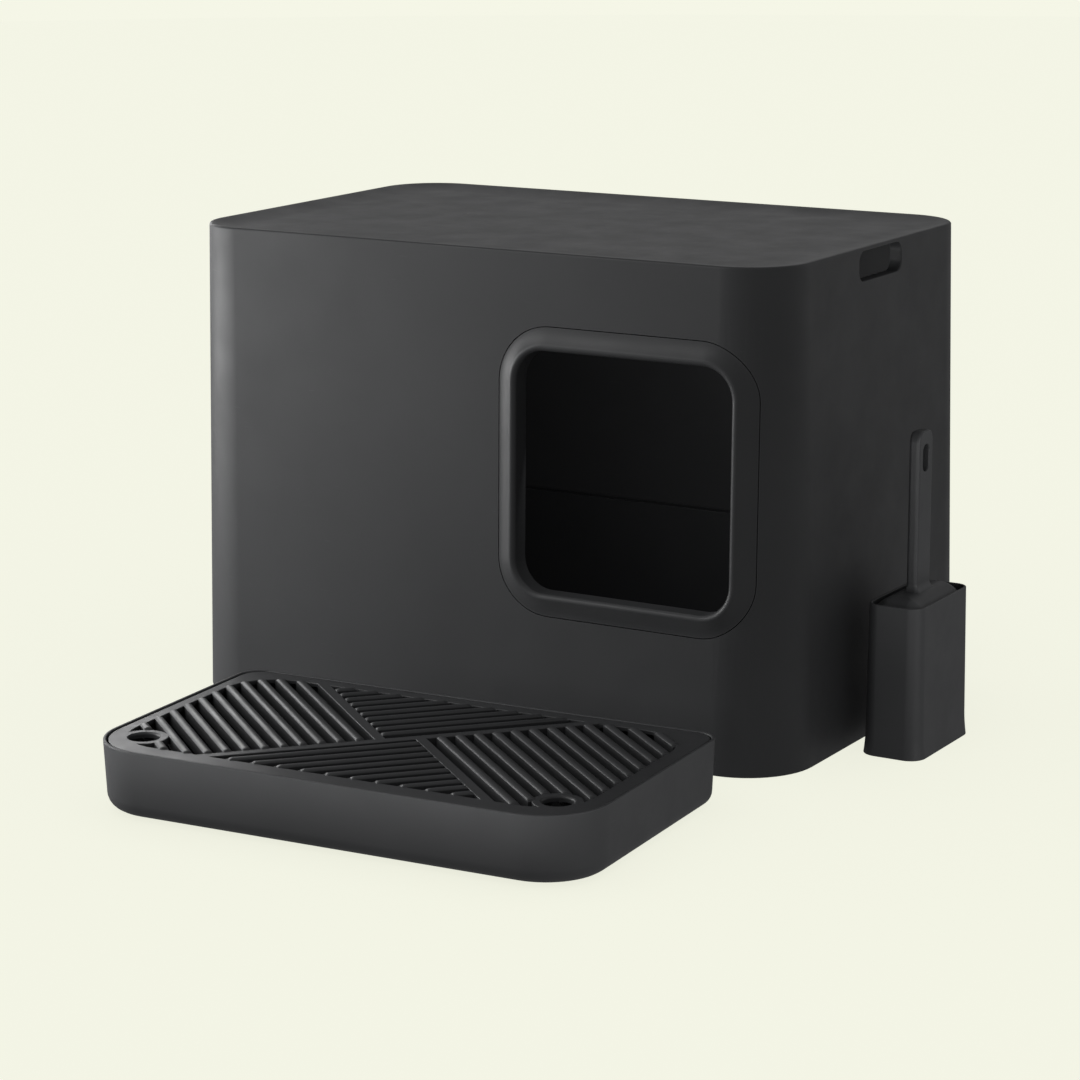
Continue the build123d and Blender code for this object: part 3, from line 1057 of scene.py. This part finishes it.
def glowing_paper(name, own_light, albedo):
    """Pale paper, seen mostly by its own glow, so that only a very faint shadow shows on it."""
    material = bpy.data.materials.new(name)
    material.use_nodes = True
    shader = material.node_tree.nodes["Principled BSDF"]
    shader.inputs["Base Color"].default_value = [part * albedo for part in paper[:3]] + [1.0]
    shader.inputs["Roughness"].default_value = 1.0
    shader.inputs["Specular IOR Level"].default_value = 0.0
    shader.inputs["Emission Color"].default_value = paper
    shader.inputs["Emission Strength"].default_value = own_light
    return material


def camera_only(thing):
    """Seen by the camera, but giving the object no light and no reflection."""
    thing.visible_diffuse = False
    thing.visible_glossy = False
    thing.visible_shadow = False


def make_stage():
    """The paper floor, clear from below, and the paper backdrop around everything."""
    mesh = bmesh.new()
    bmesh.ops.create_circle(mesh, cap_ends=True, segments=64, radius=9.0)
    data = bpy.data.meshes.new("floor")
    mesh.to_mesh(data)
    mesh.free()
    floor = bpy.data.objects.new("floor", data)
    bpy.context.scene.collection.objects.link(floor)
    paper_floor = glowing_paper("paper_floor", 0.88, 0.3)
    tree = paper_floor.node_tree
    clear = tree.nodes.new("ShaderNodeBsdfTransparent")
    side = tree.nodes.new("ShaderNodeNewGeometry")
    mix = tree.nodes.new("ShaderNodeMixShader")
    tree.links.new(side.outputs["Backfacing"], mix.inputs[0])
    tree.links.new(tree.nodes["Principled BSDF"].outputs[0], mix.inputs[1])
    tree.links.new(clear.outputs[0], mix.inputs[2])
    tree.links.new(mix.outputs[0], tree.nodes["Material Output"].inputs["Surface"])
    data.materials.append(paper_floor)
    camera_only(floor)

    mesh = bmesh.new()
    bmesh.ops.create_uvsphere(mesh, u_segments=48, v_segments=24, radius=9.5)
    data = bpy.data.meshes.new("backdrop")
    mesh.to_mesh(data)
    mesh.free()
    backdrop = bpy.data.objects.new("backdrop", data)
    bpy.context.scene.collection.objects.link(backdrop)
    data.materials.append(glowing_paper("paper_backdrop", 1.0, 0.0))
    camera_only(backdrop)

    paper_group = bpy.data.collections.new("paper_group")
    paper_group.objects.link(floor)
    return paper_group


def area_light(name, place, aim, width, height, power, receivers):
    """A rectangular lamp that lights only the receivers and is not seen itself."""
    data = bpy.data.lights.new(name, "AREA")
    data.shape = "RECTANGLE"
    data.size = width
    data.size_y = height
    data.energy = power
    light = bpy.data.objects.new(name, data)
    light.location = place
    light.rotation_euler = (Vector(aim) - Vector(place)).to_track_quat("-Z", "Y").to_euler()
    light.light_linking.receiver_collection = receivers
    light.visible_camera = False
    bpy.context.scene.collection.objects.link(light)


def make_lights(paper_group):
    """The world, a sun for the paper only, and the lamps for the pieces."""
    world = bpy.data.worlds.new("studio")
    world.use_nodes = True
    world.node_tree.nodes["Background"].inputs["Color"].default_value = (1.0, 1.0, 1.0, 1.0)
    world.node_tree.nodes["Background"].inputs["Strength"].default_value = world_strength
    bpy.context.scene.world = world

    sun = bpy.data.lights.new("paper_light", "SUN")
    sun.energy = paper_sun_strength
    sun.angle = math.radians(paper_sun_spread)
    sun_object = bpy.data.objects.new("paper_light", sun)
    sun_object.light_linking.receiver_collection = paper_group
    bpy.context.scene.collection.objects.link(sun_object)

    middle = entry_x * MM
    # name, place, aim, width, height, watts
    lamps = (
        ("key", (-0.95, -0.75, 0.30), (-0.2, -0.2, 0.15), 0.5, 0.5, 4.3),
        ("left", (-1.25, -0.35, 0.30), (-0.2, -0.2, 0.15), 0.5, 0.5, 4.4),
        ("left_back", (-1.2, 0.5, 0.6), (-0.2, 0.0, 0.3), 0.6, 0.6, 4.1),
        ("back", (-0.6, 1.6, 1.4), (0.0, -0.2, 0.3), 1.4, 1.2, 1.5),
        ("right_back", (1.6, 1.4, 0.8), (0.3, 0.0, 0.2), 1.5, 1.2, 1.2),
        ("upper_left", (-0.7, -1.0, 1.0), (0.05, -0.2, 0.3), 0.6, 0.4, 3.3),
        ("inside", (middle, -0.165, 0.3), (middle, 0.2, 0.2), 0.15, 0.15, 0.2),
    )
    for lamp in lamps:
        area_light(*lamp, lit)
    # light that the paper throws back up at the low pieces
    area_light("front_bounce", (0.2, -1.25, 0.004), (0.2, -1.25, 1.0), 2.2, 1.2, 22.0, low_lit)
    # a low lamp at the right, of which hardly anything shows on the low pieces
    area_light("right_low", (1.5, -0.5, 0.3), (0.34, 0.0, 0.1), 0.6, 0.4, 3.4, low_lit)


make_camera()
make_lights(make_stage())
bpy.context.scene.view_settings.view_transform = "Standard"
